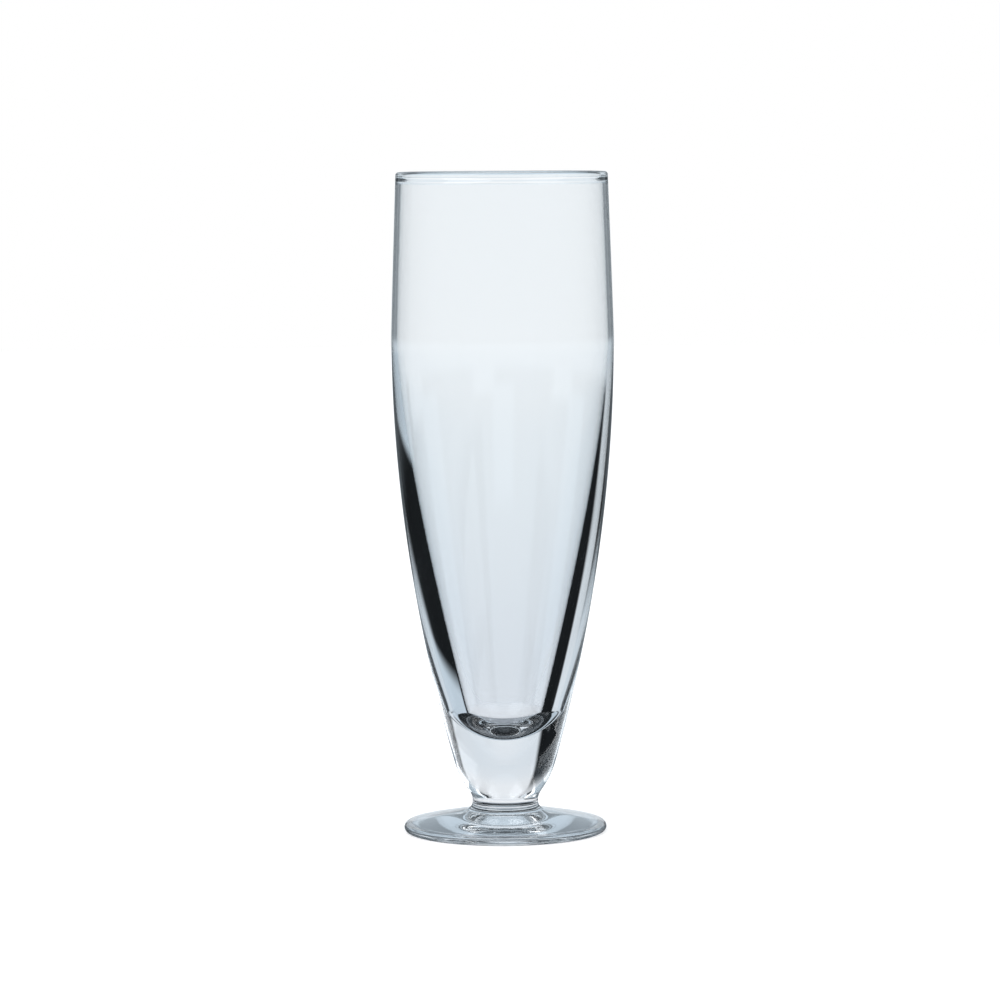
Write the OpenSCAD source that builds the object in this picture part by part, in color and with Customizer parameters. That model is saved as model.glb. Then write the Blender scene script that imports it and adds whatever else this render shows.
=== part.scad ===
// Footed pilsner glass of clear soda-lime glass, in millimetres.
// It is three gathers fused hot: a bowl with a heavy base, a short solid stem and a pressed foot.
// +Z is up, and the origin lies on the table at the centre of the foot.

/* [Bowl outside] */
// Height of the rim above the table
total_h = 198.3; // [175:0.1:230]
// Outer diameter at the rim
rim_d = 63.4; // [56:0.1:72]
// Widest outer diameter, at the belly
belly_d = 66.6; // [60:0.1:76]
// Height of the belly above the table
belly_h = 149; // [135:0.5:160]
// Diameter where the bowl is fused to the stem
base_d = 31; // [27:0.1:34]
// Height of the seam between bowl and stem
base_h = 22; // [19:0.1:25]
// Lean of the outer wall where it meets the stem, in degrees
base_draft = 15.4; // [13.5:0.1:18]
// How far the wall goes on upright above the belly before it leans in
shoulder_run = 4; // [2:0.1:10]

/* [Bowl inside] */
// Thickness of the thin wall above the belly
wall_t = 1.6; // [1.2:0.05:2.4]
// Thickness of the fire-polished bead round the rim
bead_t = 2; // [1.6:0.05:2.6]
// Length over which the bead runs out into the wall
bead_run = 3; // [2:0.1:6]
// Diameter of the rounded pool at the bottom of the hollow
pool_d = 23.1; // [20:0.1:26]
// Height of the pool's edge above the table
pool_h = 38; // [36:0.1:41]
// Depth of the pool below its edge
pool_depth = 8.3; // [6:0.1:9.5]
// Lean of the inner wall where it meets the pool, in degrees
pool_draft = 14.5; // [13:0.1:16]
// How far the pool's corner is rounded down from its edge
pool_corner = 1.2; // [0.8:0.1:3]
// How far the pool's floor stays level from its centre
pool_floor = 7; // [4:0.1:9]

/* [Stem] */
// Diameter of the neck above the foot
neck_d = 19.8; // [17:0.1:23]
// Height of the top of the straight neck
neck_h = 9.5; // [9.3:0.1:11]
// How far the swell of the stem follows the wall of the bowl
swell_run = 9; // [7:0.1:10]
// How far the hollow above the neck runs up
neck_run = 3; // [2:0.1:5]

/* [Foot] */
// Diameter of the foot
foot_d = 61; // [54:0.1:68]
// Height of the seam between stem and foot
foot_h = 9; // [8:0.1:9.2]
// Thickness of the foot's rounded edge
edge_t = 2.7; // [2:0.1:3.2]
// Rise of the foot's upper face, in degrees
foot_rise = 11.5; // [8:0.1:13]
// Width of the flare from the upper face into the neck
flare_w = 3; // [1.5:0.1:5]
// Width of the flat ring that the glass stands on
ring_w = 1.8; // [1:0.1:4]
// Depth of the hollow under the foot
hollow_depth = 1.8; // [0.8:0.1:2.4]
// How far the underside stays level from its centre
hollow_floor = 19; // [12:0.1:22]

/* [Hidden] */
glass_tint = [0.86, 0.92, 0.95, 0.45];
// Steps along a wall, along a short curve, and round the axis
wall_steps = 28;
short_steps = 12;
$fn = 144;

rim_r = rim_d / 2;
belly_r = belly_d / 2;
base_r = base_d / 2;
pool_r = pool_d / 2;
neck_r = neck_d / 2;
foot_r = foot_d / 2;
bead_r = bead_t / 2;
edge_r = edge_t / 2;
bead_h = total_h - bead_r;

// Outlines are lists of [radius, height].

// Point at share t of a bend from a to c, whose end tangents cross at b
function bend_point(a, b, c, t) = (1 - t) * ((1 - t) * a + t * b) + t * ((1 - t) * b + t * c);
function bend(a, b, c, steps, last = 1) = [for (i = [0 : steps]) bend_point(a, b, c, last * i / steps)];

// Share of that bend at which it reaches the height z
function bend_share(a, b, c, z) =
    let (first = 2 * (b[1] - a[1]), second = a[1] - 2 * b[1] + c[1])
    2 * (z - a[1]) / (first + sqrt(first * first + 4 * second * (z - a[1])));

// Curve from a to d that leaves along a-b and arrives along c-d
function sweep_point(a, b, c, d, t) =
    (1 - t) * bend_point(a, b, c, t) + t * bend_point(b, c, d, t);
function sweep(a, b, c, d, steps) = [for (i = [0 : steps]) sweep_point(a, b, c, d, i / steps)];

// Arc round a centre, between two angles
function arc(centre, r, from, to, steps) =
    [for (i = [0 : steps]) let (a = from + (to - from) * i / steps) centre + r * [cos(a), sin(a)]];

function backwards(points) = [for (i = [len(points) - 1 : -1 : 0]) points[i]];

// Above the belly both faces of the wall follow one gentle bend.
shoulder_h = belly_h + shoulder_run;
function upper_wall(inset, last = 1) = bend(
    [belly_r - inset, belly_h], [belly_r - inset, shoulder_h], [rim_r - inset, bead_h], wall_steps, last);
inner_last = bend_share([belly_r, belly_h], [belly_r, shoulder_h], [rim_r, bead_h], bead_h - bead_run);

// Below it each face leaves the belly upright and ends at its own draft, so the wall thickens on the way down.
function lower_wall(top_r, end_r, end_h, draft) = bend(
    [top_r, belly_h], [top_r, end_h + (top_r - end_r) / tan(draft)], [end_r, end_h], wall_steps);

// The bead is round on top and runs out into the inner face.
bead_arc = arc([rim_r - bead_r, bead_h], bead_r, 0, 180, short_steps);
inner_wall = upper_wall(wall_t, inner_last);
inner_top = inner_wall[wall_steps];
bead_runout = sweep(
    [rim_r - bead_t, bead_h], [rim_r - bead_t, bead_h - bead_run / 2],
    [inner_top[0], inner_top[1] + bead_run / 2], inner_top, short_steps);

// The pool leaves the wall at its draft and ends level on the axis.
pool = sweep(
    [pool_r, pool_h], [pool_r - pool_corner * tan(pool_draft), pool_h - pool_corner],
    [pool_floor, pool_h - pool_depth], [0, pool_h - pool_depth], wall_steps);

bowl_outline = concat(
    [[0, base_h]],
    backwards(lower_wall(belly_r, base_r, base_h, base_draft)),
    upper_wall(0),
    bead_arc,
    bead_runout,
    backwards(inner_wall),
    lower_wall(belly_r - wall_t, pool_r, pool_h, pool_draft),
    pool);

module bowl() {
    color(glass_tint) rotate_extrude() polygon(bowl_outline);
}

// The swell goes on along the wall of the bowl, then turns in to the straight neck.
swell = sweep(
    [base_r, base_h], [base_r - swell_run * sin(base_draft), base_h - swell_run * cos(base_draft)],
    [neck_r, neck_h + neck_run], [neck_r, neck_h], wall_steps);

module stem() {
    color(glass_tint) rotate_extrude() polygon(concat(
        [[0, base_h]], swell, [[neck_r, foot_h], [0, foot_h]]));
}

// The upper face of the foot is a shallow cone, tangent to the round edge.
edge_centre = [foot_r - edge_r, edge_r];
function face_h(r) =
    edge_r + edge_r / cos(foot_rise) + (foot_r - edge_r - r) * tan(foot_rise);
flare = bend(
    [neck_r + flare_w, face_h(neck_r + flare_w)], [neck_r, face_h(neck_r)], [neck_r, foot_h], short_steps);
ring_r = foot_r - edge_r - ring_w;
hollow = bend([0, hollow_depth], [hollow_floor, hollow_depth], [ring_r, 0], short_steps);

module foot() {
    color(glass_tint) rotate_extrude() polygon(concat(
        hollow, arc(edge_centre, edge_r, -90, 90 - foot_rise, short_steps), flare, [[0, foot_h]]));
}

bowl();
stem();
foot();
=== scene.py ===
import math

import bpy
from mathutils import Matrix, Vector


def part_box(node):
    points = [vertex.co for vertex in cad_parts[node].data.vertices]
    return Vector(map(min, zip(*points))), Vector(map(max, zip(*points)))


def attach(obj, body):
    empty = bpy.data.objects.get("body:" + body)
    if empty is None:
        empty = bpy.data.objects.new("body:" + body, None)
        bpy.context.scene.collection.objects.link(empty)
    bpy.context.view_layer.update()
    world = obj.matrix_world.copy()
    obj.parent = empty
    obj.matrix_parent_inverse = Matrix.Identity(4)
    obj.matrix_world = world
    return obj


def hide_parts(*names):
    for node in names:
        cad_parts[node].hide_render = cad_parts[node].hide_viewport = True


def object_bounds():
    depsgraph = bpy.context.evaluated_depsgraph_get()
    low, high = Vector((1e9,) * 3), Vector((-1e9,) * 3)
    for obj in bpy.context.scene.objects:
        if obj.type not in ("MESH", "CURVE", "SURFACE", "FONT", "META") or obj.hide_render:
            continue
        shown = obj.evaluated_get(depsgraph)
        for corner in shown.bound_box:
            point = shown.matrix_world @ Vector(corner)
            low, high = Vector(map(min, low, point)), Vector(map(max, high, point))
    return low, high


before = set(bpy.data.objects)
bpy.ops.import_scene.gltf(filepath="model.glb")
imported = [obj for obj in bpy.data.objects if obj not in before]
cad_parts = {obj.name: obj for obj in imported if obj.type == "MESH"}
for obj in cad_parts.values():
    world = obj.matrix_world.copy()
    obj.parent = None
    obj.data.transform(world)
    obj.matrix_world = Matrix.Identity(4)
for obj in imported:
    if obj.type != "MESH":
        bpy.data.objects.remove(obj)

cadLow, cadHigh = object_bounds()  # the CAD box, before anything is replaced
print("frame loaded")


# Camera: a long lens a little above the middle of the glass, as in the photograph
cameraSetup = {
    "lens": 152.6,         # mm, on a 36 mm sensor
    "sensor": 36.0,
    "distance": 1.272,     # metres from the axis of the glass
    "pitch": 4.85,         # degrees down
    "roll": 0.35,          # degrees
    "aimHeight": 0.100,    # metres, as are the rest
    "aimSide": -0.0004,
    "nearest": 0.05,
    "furthest": 50,
}


def addCamera():
    pitch = math.radians(cameraSetup["pitch"])
    back = cameraSetup["distance"] * math.cos(pitch)
    rise = cameraSetup["distance"] * math.sin(pitch)
    bpy.ops.object.camera_add(
        location=(cameraSetup["aimSide"], -back, cameraSetup["aimHeight"] + rise),
        rotation=(math.pi / 2 - pitch, math.radians(cameraSetup["roll"]), 0))
    camera = bpy.context.object
    camera.name = "photoCamera"
    camera.data.lens = cameraSetup["lens"]
    camera.data.sensor_width = cameraSetup["sensor"]
    camera.data.clip_start = cameraSetup["nearest"]
    camera.data.clip_end = cameraSetup["furthest"]
    bpy.context.scene.camera = camera


addCamera()
print("camera placed")


# Node helpers
white = (1, 1, 1, 1)


def addNode(tree, kind, **sockets):
    node = tree.nodes.new(kind)
    for name, value in sockets.items():
        node.inputs[name].default_value = value
    return node


def feed(tree, socket, value):
    if isinstance(value, bpy.types.NodeSocket):
        tree.links.new(value, socket)
    else:
        socket.default_value = value


def addMath(tree, operation, *values):
    node = tree.nodes.new("ShaderNodeMath")
    node.operation = operation
    for socket, value in zip(node.inputs, values):
        feed(tree, socket, value)
    return node.outputs[0]


def addRamp(tree, factor, stops):
    node = tree.nodes.new("ShaderNodeValToRGB")
    ramp = node.color_ramp
    ramp.interpolation = "EASE"
    while len(ramp.elements) < len(stops):
        ramp.elements.new(0.5)  # anywhere, as all are placed next
    for element, (place, colour) in zip(ramp.elements, stops):
        element.position = place
        element.color = colour
    tree.links.new(factor, node.inputs[0])
    return node.outputs[0]


def fadeIn(tree, value, low, high, start=0.0, end=1.0):
    node = tree.nodes.new("ShaderNodeMapRange")
    node.interpolation_type = "SMOOTHSTEP"
    for socket, number in zip(node.inputs, (value, low, high, start, end)):
        feed(tree, socket, number)
    return node.outputs[0]


def fadeOut(tree, value, low, high):
    return fadeIn(tree, value, low, high, 1.0, 0.0)


def mixColours(tree, share, first, second):
    node = tree.nodes.new("ShaderNodeMix")
    node.data_type = "RGBA"
    for index, value in ((0, share), (6, first), (7, second)):  # the node's sockets for colours
        feed(tree, node.inputs[index], value)
    return node.outputs[2]


def mixShaders(tree, share, first, second):
    node = tree.nodes.new("ShaderNodeMixShader")
    for socket, value in zip(node.inputs, (share, first, second)):
        tree.links.new(value, socket)
    return node.outputs[0]


def objectPlace(tree):
    return tree.nodes.new("ShaderNodeTexCoord").outputs["Object"]


def splitAxes(tree, place):
    node = tree.nodes.new("ShaderNodeSeparateXYZ")
    tree.links.new(place, node.inputs[0])
    return node.outputs


def newMaterial(name):
    material = bpy.data.materials.new(name)
    material.use_nodes = True
    material.node_tree.nodes.clear()
    return material, material.node_tree


def endMaterial(tree, shader):
    output = tree.nodes.new("ShaderNodeOutputMaterial")
    tree.links.new(shader, output.inputs["Surface"])


# Kinds of light in the glass, told apart by how often it was reflected and how often it passed through
# a surface, each from the fewest to the most times. What is none of these went straight through.
manyTimes = 99  # more than any light here
lightKinds = {
    "mirrored": {"reflected": (1, manyTimes), "passed": (0, 0)},   # by the outside of the glass
    "once": {"reflected": (1, 1), "passed": (2, 2)},               # reflected once inside it
    "more": {"reflected": (2, manyTimes), "passed": (1, manyTimes)},
    "inside": {"reflected": (1, manyTimes), "passed": (1, manyTimes)},
}


def countIs(tree, count, fewest, most):
    margin = 0.5  # the counts are whole
    enough = addMath(tree, "GREATER_THAN", count, fewest - margin)
    return addMath(tree, "MULTIPLY", enough, addMath(tree, "LESS_THAN", count, most + margin))


def lightIs(tree, paths, name):
    kind = lightKinds[name]
    return addMath(
        tree, "MULTIPLY",
        countIs(tree, paths.outputs["Glossy Depth"], *kind["reflected"]),
        countIs(tree, paths.outputs["Transmission Depth"], *kind["passed"]))


def seenInGlass(tree, paths):
    return addMath(tree, "MAXIMUM", paths.outputs["Is Glossy Ray"], paths.outputs["Is Transmission Ray"])


# Studio: the camera sees white, and the glass sees a pale backdrop with dark flags and cards. Light that
# is mirrored, once reflected or more often has tones of its own, and the rest sees those for straight
# light, so that the dark lines of the glass come out from any side.
studio = {
    # Tones by elevation, as (degrees, tone)
    "straight": [
        (-90, 0.20), (-66, 0.12), (-58, 0.06), (-49, 0.10), (-43, 0.45), (-36, 0.74), (-24, 0.76),
        (-17, 0.82), (-12, 0.88), (-10, 0.92), (-7.5, 0.955), (-2, 0.985), (6, 0.985), (9, 0.87),
        (12, 0.89), (25, 0.95), (90, 0.95)],
    "mirrored": [
        (-90, 0.01), (-9, 0.02), (-5, 0.24), (-2, 0.48), (8, 0.55), (14, 0.75), (30, 0.62),
        (90, 0.40)],
    "once": [
        (-90, 0.06), (-50, 0.02), (-14, 0.01), (-10, 0.80), (-5, 0.80), (-2, 0.07), (6, 0.07),
        (10, 0.72), (90, 0.72)],
    "more": [(-90, 0.02), (-14, 0.02), (-8, 0.12), (-3, 0.88), (90, 0.88)],
    # Tones of light reflected very often, as (fewest times, most times, tone)
    "deep": [(4, 5, 0.03), (6, 9, 0.68), (10, manyTimes, 0.25)],
    "tint": (0.86, 1.0, 1.11),   # of the greys
    "tintFade": 3.6,             # how soon it comes in below white
}

# Flags and cards by the kind of light that sees them. Around: the middle and half the width round the
# axis, the period and the blur. Upright: the lower and the upper edge, and the blur at each. In degrees.
cards = {
    "straight": {
        "rightFlag": {"around": (-52, 25, 180, 5), "upright": (8, 30, 3, 24), "tone": 0.01},
        "leftFlag": {"around": (64, 15, 180, 6), "upright": (8, 30, 3, 24), "tone": 0.01},
    },
    "mirrored": {
        "edge": {"around": (0, 28, 360, 5), "upright": (-12, 0, 3, 3), "tone": 0.22},
        "tips": {"around": (0, 28, 360, 5), "upright": (0, 9, 3, 3), "tone": 0.02},
        "behind": {"around": (0, 9, 360, 4), "upright": (-8, 9, 3, 3), "tone": 0.85},
    },
    "once": {
        "gap": {"around": (21, 12, 90, 6), "upright": (-18, -9, 3, 3), "tone": 0.86},
        "lowGap": {"around": (0, 12, 90, 6), "upright": (-31, -16, 3, 3), "tone": 0.70},
        "bar": {"around": (20, 14, 360, 6), "upright": (13, 26, 3, 3), "tone": 0.15},
    },
    "more": {
        "back": {"around": (180, 55, 360, 10), "upright": (-14, 44, 4, 8), "tone": 0.04},
        "rightBlock": {"around": (-105, 20, 360, 6), "upright": (-14, 32, 4, 10), "tone": 0.04},
        "leftBlock": {"around": (88, 20, 360, 6), "upright": (-14, 24, 4, 8), "tone": 0.04},
    },
}


def tinted(tone):
    share = min(1, (1 - tone) * studio["tintFade"])
    colour = [tone * (1 + share * (tint - 1)) for tint in studio["tint"]]
    return (*colour, 1)


def elevationRamp(tree, elevation, stops):
    share = addMath(tree, "MULTIPLY_ADD", elevation, 1 / math.pi, 0.5)  # 0 straight down, 1 straight up
    return addRamp(tree, share, [((degrees + 90) / 180, tinted(tone)) for degrees, tone in stops])


def isAround(tree, azimuth, around):
    middle, half, period, blur = (math.radians(degrees) for degrees in around)
    shifted = addMath(tree, "SUBTRACT", azimuth, middle)
    offset = addMath(tree, "ABSOLUTE", addMath(tree, "WRAP", shifted, period / 2, -period / 2))
    return fadeOut(tree, offset, half - blur / 2, half + blur / 2)


def isUpright(tree, elevation, upright):
    low, high, lowBlur, highBlur = (math.radians(degrees) for degrees in upright)
    above = fadeIn(tree, elevation, low - lowBlur / 2, low + lowBlur / 2)
    below = fadeOut(tree, elevation, high - highBlur / 2, high + highBlur / 2)
    return addMath(tree, "MULTIPLY", above, below)


def studioTones(tree, elevation, azimuth):
    tones = {}
    for kind in cards:
        colour = elevationRamp(tree, elevation, studio[kind])
        for card in cards[kind].values():
            around = isAround(tree, azimuth, card["around"])
            upright = isUpright(tree, elevation, card["upright"])
            inside = addMath(tree, "MULTIPLY", around, upright)
            colour = mixColours(tree, inside, colour, tinted(card["tone"]))
        tones[kind] = colour
    return tones


def addStudio():
    world = bpy.data.worlds.new("studio")
    bpy.context.scene.world = world
    world.use_nodes = True
    tree = world.node_tree
    tree.nodes.clear()
    direction = splitAxes(tree, tree.nodes.new("ShaderNodeTexCoord").outputs["Generated"])
    elevation = addMath(tree, "ARCSINE", direction["Z"])
    azimuth = addMath(tree, "ARCTAN2", direction["X"], direction["Y"])
    paths = tree.nodes.new("ShaderNodeLightPath")

    tones = studioTones(tree, elevation, azimuth)
    for fewest, most, tone in studio["deep"]:
        deep = countIs(tree, paths.outputs["Glossy Depth"], fewest, most)
        tones["more"] = mixColours(tree, deep, tones["more"], tinted(tone))
    colour = tones["straight"]
    for kind in ("more", "once", "mirrored"):
        colour = mixColours(tree, lightIs(tree, paths, kind), colour, tones[kind])
    colour = mixColours(tree, seenInGlass(tree, paths), white, colour)

    background = addNode(tree, "ShaderNodeBackground", Strength=1.0)
    tree.links.new(colour, background.inputs["Color"])
    output = tree.nodes.new("ShaderNodeOutputWorld")
    tree.links.new(background.outputs[0], output.inputs["Surface"])


addStudio()
print("studio lit")


# Floor: it keeps the shadow of the glass. Light reflected by the glass doesn't see it, and light that
# went straight through sees only the part that is near.
floorSetup = {
    "radius": 3.0,
    "sides": 128,
    "albedo": (0.82, 0.83, 0.84),
    "glow": 0.30,                # lifts the unshadowed floor to white for the camera
    "clearFrom": (0.06, 0.30),   # metres from the axis over which the glass stops seeing the floor
}


def makePaleFloor():
    material, tree = newMaterial("paleFloor")
    paths = tree.nodes.new("ShaderNodeLightPath")
    diffuse = addNode(tree, "ShaderNodeBsdfDiffuse", Color=(*floorSetup["albedo"], 1))
    glow = addNode(tree, "ShaderNodeEmission", Color=white)
    strength = addMath(tree, "MULTIPLY", paths.outputs["Is Camera Ray"], floorSetup["glow"])
    tree.links.new(strength, glow.inputs["Strength"])
    lit = tree.nodes.new("ShaderNodeAddShader")
    tree.links.new(diffuse.outputs[0], lit.inputs[0])
    tree.links.new(glow.outputs[0], lit.inputs[1])

    distance = tree.nodes.new("ShaderNodeVectorMath")
    distance.operation = "LENGTH"
    tree.links.new(objectPlace(tree), distance.inputs[0])
    away = fadeIn(tree, distance.outputs["Value"], *floorSetup["clearFrom"])
    away = addMath(tree, "MULTIPLY", away, seenInGlass(tree, paths))
    reflected = addMath(
        tree, "MAXIMUM", lightIs(tree, paths, "inside"), lightIs(tree, paths, "mirrored"))
    unseen = addMath(tree, "MAXIMUM", away, reflected)
    clear = tree.nodes.new("ShaderNodeBsdfTransparent")
    endMaterial(tree, mixShaders(tree, unseen, lit.outputs[0], clear.outputs[0]))
    return material


def addFloor():
    bpy.ops.object.select_all(action="DESELECT")
    bpy.ops.mesh.primitive_circle_add(
        vertices=floorSetup["sides"], radius=floorSetup["radius"], fill_type="NGON")
    floor = bpy.context.object
    floor.name = "floor"
    floor.data.materials.append(makePaleFloor())


addFloor()
print("floor laid")


# Fill card: it stands on the floor behind the glass on the left, and only light that was reflected once
# inside the glass sees it. It makes the left band thin out at both ends.
cardSetup = {
    "place": (-0.049, 0.037, 0),
    "width": 0.064,
    "height": 0.140,
    "turn": 42,                    # degrees round the vertical
    "slope": 0.55,                 # how much the edges of its clear middle rise towards the right
    "lowFade": (0.029, 0.040),     # metres above the floor over which it fades out,
    "highFade": (0.103, 0.112),    # and in again
    "sideFade": (0.025, 0.031),    # metres from its middle line over which it fades out
    "tone": 0.72,
}


def makePaleCard():
    material, tree = newMaterial("paleCard")
    place = splitAxes(tree, objectPlace(tree))
    rise = addMath(tree, "MULTIPLY", place["X"], cardSetup["slope"])
    level = addMath(tree, "SUBTRACT", place["Z"], rise)
    low = fadeOut(tree, level, *cardSetup["lowFade"])
    high = fadeIn(tree, level, *cardSetup["highFade"])
    sides = fadeOut(tree, addMath(tree, "ABSOLUTE", place["X"]), *cardSetup["sideFade"])
    seen = addMath(tree, "MULTIPLY", sides, addMath(tree, "MAXIMUM", low, high))
    once = lightIs(tree, tree.nodes.new("ShaderNodeLightPath"), "once")
    seen = addMath(tree, "MULTIPLY", seen, once)
    clear = tree.nodes.new("ShaderNodeBsdfTransparent")
    glow = addNode(tree, "ShaderNodeEmission", Color=tinted(cardSetup["tone"]), Strength=1.0)
    endMaterial(tree, mixShaders(tree, seen, clear.outputs[0], glow.outputs[0]))
    return material


def addCard():
    bpy.ops.object.select_all(action="DESELECT")
    bpy.ops.mesh.primitive_plane_add(size=1)
    card = bpy.context.object
    card.name = "fillCard"
    bpy.ops.object.mode_set(mode="EDIT")
    bpy.ops.mesh.select_all(action="SELECT")
    bpy.ops.transform.resize(value=(cardSetup["width"], cardSetup["height"], 1))
    bpy.ops.transform.translate(value=(0, cardSetup["height"] / 2, 0))
    bpy.ops.transform.rotate(value=-math.pi / 2, orient_axis="X", center_override=(0, 0, 0))
    bpy.ops.object.mode_set(mode="OBJECT")
    card.location = cardSetup["place"]
    card.rotation_euler.z = math.radians(cardSetup["turn"])
    card.data.materials.append(makePaleCard())


addCard()
print("fill card placed")


# Outlines: points are (radius, height), in metres. A bend is pulled towards one point on its way from
# start to end, and a sweep towards two.
def blendPoints(start, end, share):
    return tuple((1 - share) * here + share * there for here, there in zip(start, end))


def bendPoint(start, pull, end, share):
    return blendPoints(blendPoints(start, pull, share), blendPoints(pull, end, share), share)


def sweepPoint(start, pull, draw, end, share):
    return blendPoints(bendPoint(start, pull, draw, share), bendPoint(pull, draw, end, share), share)


def bend(start, pull, end, steps, last=1.0):
    return [bendPoint(start, pull, end, last * step / steps) for step in range(steps + 1)]


def sweep(start, pull, draw, end, steps):
    return [sweepPoint(start, pull, draw, end, step / steps) for step in range(steps + 1)]


def arc(centre, radius, start, end, steps):
    angles = [math.radians(start + (end - start) * step / steps) for step in range(steps + 1)]
    return [
        (centre[0] + radius * math.cos(angle), centre[1] + radius * math.sin(angle))
        for angle in angles]


latheSetup = {
    "turns": 256,        # steps round the axis
    "smoothAngle": 30,   # degrees
    "apart": 1e-6,       # metres: points of an outline that are closer count as one,
    "merge": 1e-7,       # as do points of the turned mesh,
    "flat": 1e-7,        # a face is level within this,
    "onSeam": 1e-6,      # and lies on a seam within this
}


def tidyOutline(points):
    kept = [points[0]]
    for point in points[1:]:
        if math.dist(point, kept[-1]) > latheSetup["apart"]:
            kept.append(point)
    return kept


def turnOutline(name, outline):
    bpy.ops.object.select_all(action="DESELECT")
    bpy.ops.mesh.primitive_plane_add()
    piece = bpy.context.object
    piece.name = name
    bpy.ops.object.mode_set(mode="EDIT")
    bpy.ops.mesh.select_all(action="SELECT")
    bpy.ops.mesh.merge(type="CENTER")  # one point, which is drawn along the outline
    start = outline[0]
    bpy.ops.transform.translate(value=(start[0], 0, start[1]))
    for here, there in zip(outline, outline[1:]):
        bpy.ops.mesh.extrude_region_move(
            TRANSFORM_OT_translate={"value": (there[0] - here[0], 0, there[1] - here[1])})
    bpy.ops.mesh.select_all(action="SELECT")
    bpy.ops.mesh.spin(steps=latheSetup["turns"], angle=2 * math.pi, center=(0, 0, 0), axis=(0, 0, 1))
    bpy.ops.mesh.select_all(action="SELECT")
    bpy.ops.mesh.remove_doubles(threshold=latheSetup["merge"])
    bpy.ops.mesh.normals_make_consistent(inside=False)
    bpy.ops.object.mode_set(mode="OBJECT")
    bpy.ops.object.shade_smooth_by_angle(angle=math.radians(latheSetup["smoothAngle"]))
    return piece


# Glass
glassSetup = {
    "ior": 1.52,
    "thick": (0.895, 0.917, 0.946),   # the tint of the solid base
    "thin": (0.965, 0.985, 0.998),    # and of the thin wall
    "thickBelow": 0.1,                # shares of the height between which one becomes the other
    "thinAbove": 0.6,
    "rough": (0.0, 0.03),             # the clearest and the dullest of the polished surface
    "roughScale": 55,
    "roughDetail": 3.0,
    "streaks": (70, 70, 5),           # how fine the drawn streaks are across and along the glass
    "streakDetail": 2.0,
    "waviness": 0.025,
    "waveDepth": 0.00012,             # metres
}


def makeGlass():
    material, tree = newMaterial("clearGlass")
    place = objectPlace(tree)
    height = addMath(tree, "DIVIDE", splitAxes(tree, place)["Z"], cadHigh.z)
    tint = addRamp(tree, height, [
        (glassSetup["thickBelow"], (*glassSetup["thick"], 1)),
        (glassSetup["thinAbove"], (*glassSetup["thin"], 1))])
    shader = addNode(tree, "ShaderNodeBsdfPrincipled", IOR=glassSetup["ior"])
    shader.inputs["Transmission Weight"].default_value = 1.0
    tree.links.new(tint, shader.inputs["Base Color"])

    clearest, dullest = glassSetup["rough"]
    polish = addNode(
        tree, "ShaderNodeTexNoise", Scale=glassSetup["roughScale"], Detail=glassSetup["roughDetail"])
    tree.links.new(place, polish.inputs["Vector"])
    rough = addMath(tree, "MULTIPLY_ADD", polish.outputs["Fac"], dullest - clearest, clearest)
    tree.links.new(rough, shader.inputs["Roughness"])

    stretch = addNode(tree, "ShaderNodeMapping", Scale=glassSetup["streaks"])
    tree.links.new(place, stretch.inputs["Vector"])
    streaks = addNode(tree, "ShaderNodeTexNoise", Scale=1.0, Detail=glassSetup["streakDetail"])
    tree.links.new(stretch.outputs[0], streaks.inputs["Vector"])
    bump = addNode(
        tree, "ShaderNodeBump", Strength=glassSetup["waviness"], Distance=glassSetup["waveDepth"])
    tree.links.new(streaks.outputs["Fac"], bump.inputs["Height"])
    tree.links.new(bump.outputs[0], shader.inputs["Normal"])
    endMaterial(tree, shader.outputs[0])
    return material


# Seam: the pieces are fused, so the flat faces where they meet don't show
def makeSeam():
    material, tree = newMaterial("fusedSeam")
    endMaterial(tree, tree.nodes.new("ShaderNodeBsdfTransparent").outputs[0])
    return material


pieceMaterials = [makeGlass(), makeSeam()]
seamSlot = 1


def finishPiece(piece, node, seamHeights):
    for material in pieceMaterials:
        piece.data.materials.append(material)
    points = piece.data.vertices
    for face in piece.data.polygons:
        height = face.center.z
        level = all(abs(points[index].co.z - height) < latheSetup["flat"] for index in face.vertices)
        onSeam = any(abs(height - seam) < latheSetup["onSeam"] for seam in seamHeights)
        if level and onSeam:
            face.material_index = seamSlot
    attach(piece, "root")
    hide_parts(node)


# Shared heights and radii, read from the frame
bowlLow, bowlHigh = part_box("bowl")
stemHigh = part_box("stem")[1]
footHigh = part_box("foot")[1]
rimHeight = bowlHigh[2]
baseHeight = bowlLow[2]
footHeight = footHigh[2]
bellyRadius = bowlHigh[0]
baseRadius = stemHigh[0]
footRadius = footHigh[0]

# Bowl: metres, and degrees for the drafts
bowlSizes = {
    "rimRadius": 0.0317,      # outside the bead
    "bellyHeight": 0.149,
    "baseDraft": 15.4,        # how far the wall leans out just above the stem
    "wall": 0.0016,           # thickness above the belly
    "shoulderRun": 0.004,     # how far above the belly the wall is still pulled upright
    "bead": 0.0020,           # thickness of the rounded rim
    "beadRun": 0.003,         # height over which it runs out into the wall
    "poolRadius": 0.01155,    # the hollow at the bottom of the inside
    "poolHeight": 0.0380,
    "poolDepth": 0.0083,
    "poolDraft": 14.5,        # how far the wall leans out just above it
    "poolCorner": 0.0012,     # how far down that slope pulls on its edge
    "poolFloor": 0.0070,      # how far out its bottom is pulled flat
    "wallSteps": 64,
    "shortSteps": 20,
}


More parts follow.
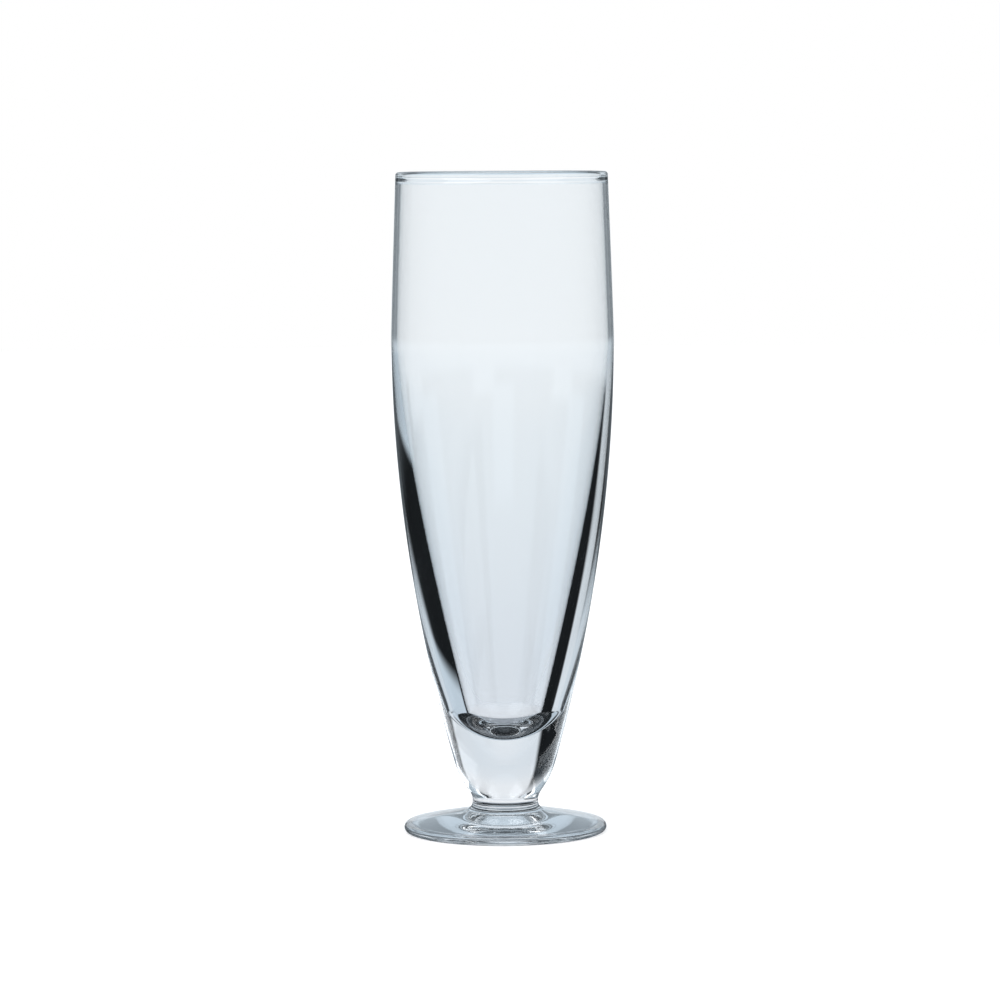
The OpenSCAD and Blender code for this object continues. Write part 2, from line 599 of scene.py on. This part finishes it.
def bowlOutline():
    sizes = bowlSizes
    wall, rimRadius, bellyHeight = sizes["wall"], sizes["rimRadius"], sizes["bellyHeight"]
    beadRadius = sizes["bead"] / 2
    beadHeight = rimHeight - beadRadius
    shoulder = bellyHeight + sizes["shoulderRun"]

    def upperWall(inset, last=1.0):
        return bend(
            (bellyRadius - inset, bellyHeight), (bellyRadius - inset, shoulder),
            (rimRadius - inset, beadHeight), sizes["wallSteps"] // 2, last)

    def lowerWall(topRadius, endRadius, endHeight, draft):
        corner = endHeight + (topRadius - endRadius) / math.tan(math.radians(draft))
        return bend(
            (topRadius, bellyHeight), (topRadius, corner), (endRadius, endHeight), sizes["wallSteps"])

    # The inner wall stops where its bend has risen by reach, and there the bead starts to run out
    reach = beadHeight - sizes["beadRun"] - bellyHeight
    first = 2 * (shoulder - bellyHeight)
    second = bellyHeight - 2 * shoulder + beadHeight
    innerWall = upperWall(wall, 2 * reach / (first + math.sqrt(first * first + 4 * second * reach)))
    top = innerWall[-1]
    beadInner = rimRadius - sizes["bead"]
    runout = sweep(
        (beadInner, beadHeight), (beadInner, beadHeight - sizes["beadRun"] / 2),
        (top[0], top[1] + sizes["beadRun"] / 2), top, sizes["shortSteps"])

    poolRadius, poolHeight = sizes["poolRadius"], sizes["poolHeight"]
    poolBottom = poolHeight - sizes["poolDepth"]
    lean = sizes["poolCorner"] * math.tan(math.radians(sizes["poolDraft"]))
    pool = sweep(
        (poolRadius, poolHeight), (poolRadius - lean, poolHeight - sizes["poolCorner"]),
        (sizes["poolFloor"], poolBottom), (0, poolBottom), sizes["wallSteps"] // 2)

    outline = [(0, baseHeight)]
    outline += reversed(lowerWall(bellyRadius, baseRadius, baseHeight, sizes["baseDraft"]))
    outline += upperWall(0)
    outline += arc((rimRadius - beadRadius, beadHeight), beadRadius, 0, 180, sizes["shortSteps"])
    outline += runout
    outline += reversed(innerWall)
    outline += lowerWall(bellyRadius - wall, poolRadius, poolHeight, sizes["poolDraft"])
    outline += pool
    return tidyOutline(outline)


bowl = turnOutline("bowl_glass", bowlOutline())
finishPiece(bowl, "bowl", [baseHeight])
print("bowl turned:", len(bowl.data.polygons), "faces")


# Stem: metres
stemSizes = {
    "neckRadius": 0.0099,
    "neckHeight": 0.0095,
    "swellRun": 0.0090,    # how far the slope of the bowl's base pulls on the swell
    "neckRun": 0.0030,     # and the upright of the neck
    "steps": 40,
}


def stemOutline():
    sizes = stemSizes
    neckRadius, neckHeight, run = sizes["neckRadius"], sizes["neckHeight"], sizes["swellRun"]
    draft = math.radians(bowlSizes["baseDraft"])
    swell = sweep(
        (baseRadius, baseHeight),
        (baseRadius - run * math.sin(draft), baseHeight - run * math.cos(draft)),
        (neckRadius, neckHeight + sizes["neckRun"]), (neckRadius, neckHeight), sizes["steps"])
    return tidyOutline([(0, baseHeight)] + swell + [(neckRadius, footHeight), (0, footHeight)])


stem = turnOutline("stem_glass", stemOutline())
finishPiece(stem, "stem", [baseHeight, footHeight])
print("stem turned:", len(stem.data.polygons), "faces")


# Foot: metres, and degrees for the rise
footSizes = {
    "edge": 0.0027,           # thickness of the rounded edge
    "rise": 11.5,             # the slope of the upper face
    "flareWidth": 0.003,      # how far out from the neck the upper face starts to rise into it
    "ringWidth": 0.0018,      # the ring it rests on, inwards from the middle of the edge
    "hollowDepth": 0.0018,
    "hollowFloor": 0.019,     # how far out the hollow is pulled flat
    "steps": 24,
}


def footOutline():
    sizes = footSizes
    edgeRadius = sizes["edge"] / 2
    edgeCentre = (footRadius - edgeRadius, edgeRadius)
    rise = math.radians(sizes["rise"])
    neckRadius = stemSizes["neckRadius"]

    def faceHeight(radius):
        return edgeRadius + edgeRadius / math.cos(rise) + (edgeCentre[0] - radius) * math.tan(rise)

    flareRadius = neckRadius + sizes["flareWidth"]
    ringRadius = edgeCentre[0] - sizes["ringWidth"]
    outline = bend(
        (0, sizes["hollowDepth"]), (sizes["hollowFloor"], sizes["hollowDepth"]), (ringRadius, 0),
        sizes["steps"])
    outline += arc(edgeCentre, edgeRadius, -90, 90 - sizes["rise"], sizes["steps"])
    outline += bend(
        (flareRadius, faceHeight(flareRadius)), (neckRadius, faceHeight(neckRadius)),
        (neckRadius, footHeight), sizes["steps"])
    outline += [(0, footHeight)]
    return tidyOutline(outline)


foot = turnOutline("foot_glass", footOutline())
finishPiece(foot, "foot", [footHeight])
print("foot turned:", len(foot.data.polygons), "faces")


# Lamps: two large soft ones in front, aimed at the middle of the glass
lampAim = 0.1  # metres above the floor
lamps = [
    {"name": "keyLamp", "place": (-1.0, -0.8, 1.4), "size": (1.3, 1.6), "power": 11},
    {"name": "fillLamp", "place": (1.3, -0.8, 1.1), "size": (1.3, 1.6), "power": 6},
]


def addLamps():
    for lamp in lamps:
        bpy.ops.object.light_add(type="AREA", location=lamp["place"])
        light = bpy.context.object
        light.name = lamp["name"]
        light.data.shape = "RECTANGLE"
        light.data.size, light.data.size_y = lamp["size"]
        light.data.energy = lamp["power"]
        aim = -light.location
        aim.z += lampAim
        light.rotation_euler = aim.to_track_quat("-Z", "Y").to_euler()


addLamps()
print("lamps placed")


# Light is followed far enough to get out of the solid base again
lightPaths = {
    "max_bounces": 32,
    "transmission_bounces": 32,
    "glossy_bounces": 16,
    "transparent_max_bounces": 64,
}
for name, count in lightPaths.items():
    setattr(bpy.context.scene.cycles, name, count)
bpy.context.scene.view_settings.view_transform = "Standard"
